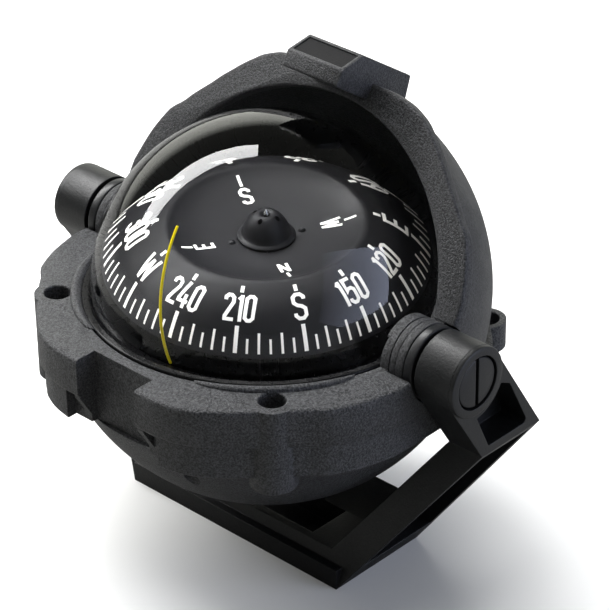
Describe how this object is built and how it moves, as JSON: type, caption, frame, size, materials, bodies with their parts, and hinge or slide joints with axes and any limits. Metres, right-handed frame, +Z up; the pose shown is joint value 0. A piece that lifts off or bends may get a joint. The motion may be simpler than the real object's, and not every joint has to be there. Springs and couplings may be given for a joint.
{
  "type": "bracket-mounted dome compass",
  "caption": "Marine steering compass with a clear dome over a direct-reading card, a housing that tilts in a yoke bracket, and a swing-over hood.",
  "frame": {"origin": "centre of the bracket foot's underside, below the tilt axis", "axes": "+Z up from the foot, -Y to the front of the compass where the lubber line stands, +X along the tilt axis to the right-hand arm"},
  "size_m": [0.21, 0.1798, 0.1911],
  "materials": {
    "housing": "fine moulded grain, charcoal black",
    "bracket": "smooth moulded, near black",
    "pivot_screw": "smooth moulded, near black",
    "inner": "smooth moulded, black",
    "clear": "polished clear acrylic",
    "card": "matt black with white marks",
    "lubber": "yellow enamel",
    "rubber": "black rubber",
    "steel": "stainless steel",
    "brass": "machined brass",
    "magnet": "sintered magnet, plated",
    "jewel": "polished synthetic jewel"
  },
  "bodies": {
    "bracket": {"yoke_bracket": "bracket"},
    "screw_left": {"pivot_screw_left": "pivot_screw"},
    "screw_right": {"pivot_screw_right": "pivot_screw"},
    "compass": {"bezel_housing": "housing", "lower_shell": "housing", "trunnion_collar_left": "housing", "trunnion_collar_right": "housing", "pivot_washer_left": "rubber", "pivot_washer_right": "rubber", "shell_screw_1": "steel", "shell_screw_2": "steel", "shell_screw_3": "steel", "shell_screw_4": "steel", "dome": "clear", "dome_gasket": "rubber", "dome_ring": "inner", "capsule_bowl": "inner", "filler_plug": "brass", "diaphragm": "rubber", "diaphragm_cover": "inner", "cover_screw_1": "steel", "cover_screw_2": "steel", "cover_screw_3": "steel", "lubber_ring": "inner", "lubber_line": "lubber", "pivot_post": "inner", "pivot_pin": "steel", "compensator_block": "inner"},
    "rod_athwart": {"compensator_rod_athwart": "brass"},
    "rod_fore_aft": {"compensator_rod_fore_aft": "brass"},
    "card": {"card_cone": "card", "card_dish": "card", "card_hub": "card", "card_float": "card", "card_magnet_left": "magnet", "card_magnet_right": "magnet", "card_rivet_left": "steel", "card_rivet_right": "steel", "jewel_cup": "jewel", "jewel_setting": "brass"},
    "hood": {"hood": "housing", "hood_grip_pad": "rubber"}
  },
  "joints": [
    {"name": "tilt", "type": "hinge", "parent": "bracket", "child": "compass", "pos_m": [0, 0, 0.1042], "axis": [1, 0, 0], "range_deg": [-20, 35]},
    {"name": "screw_left_turn", "type": "hinge", "parent": "bracket", "child": "screw_left", "pos_m": [-0.1, 0, 0.1042], "axis": [-1, 0, 0], "range_deg": [0, 540]},
    {"name": "screw_right_turn", "type": "hinge", "parent": "bracket", "child": "screw_right", "pos_m": [0.1, 0, 0.1042], "axis": [1, 0, 0], "range_deg": [0, 540]},
    {"name": "hood_swing", "type": "hinge", "parent": "compass", "child": "hood", "pos_m": [0, 0, 0.1042], "axis": [1, 0, 0], "range_deg": [0, 120]},
    {"name": "card_spin", "type": "hinge", "parent": "compass", "child": "card", "pos_m": [0, 0, 0.1042], "axis": [0, 0, 1], "continuous": true},
    {"name": "rod_athwart_turn", "type": "hinge", "parent": "compass", "child": "rod_athwart", "pos_m": [0, 0, 0.03501], "axis": [1, 0, 0], "continuous": true},
    {"name": "rod_fore_aft_turn", "type": "hinge", "parent": "compass", "child": "rod_fore_aft", "pos_m": [0, 0, 0.02901], "axis": [0, 1, 0], "continuous": true}
  ]
}
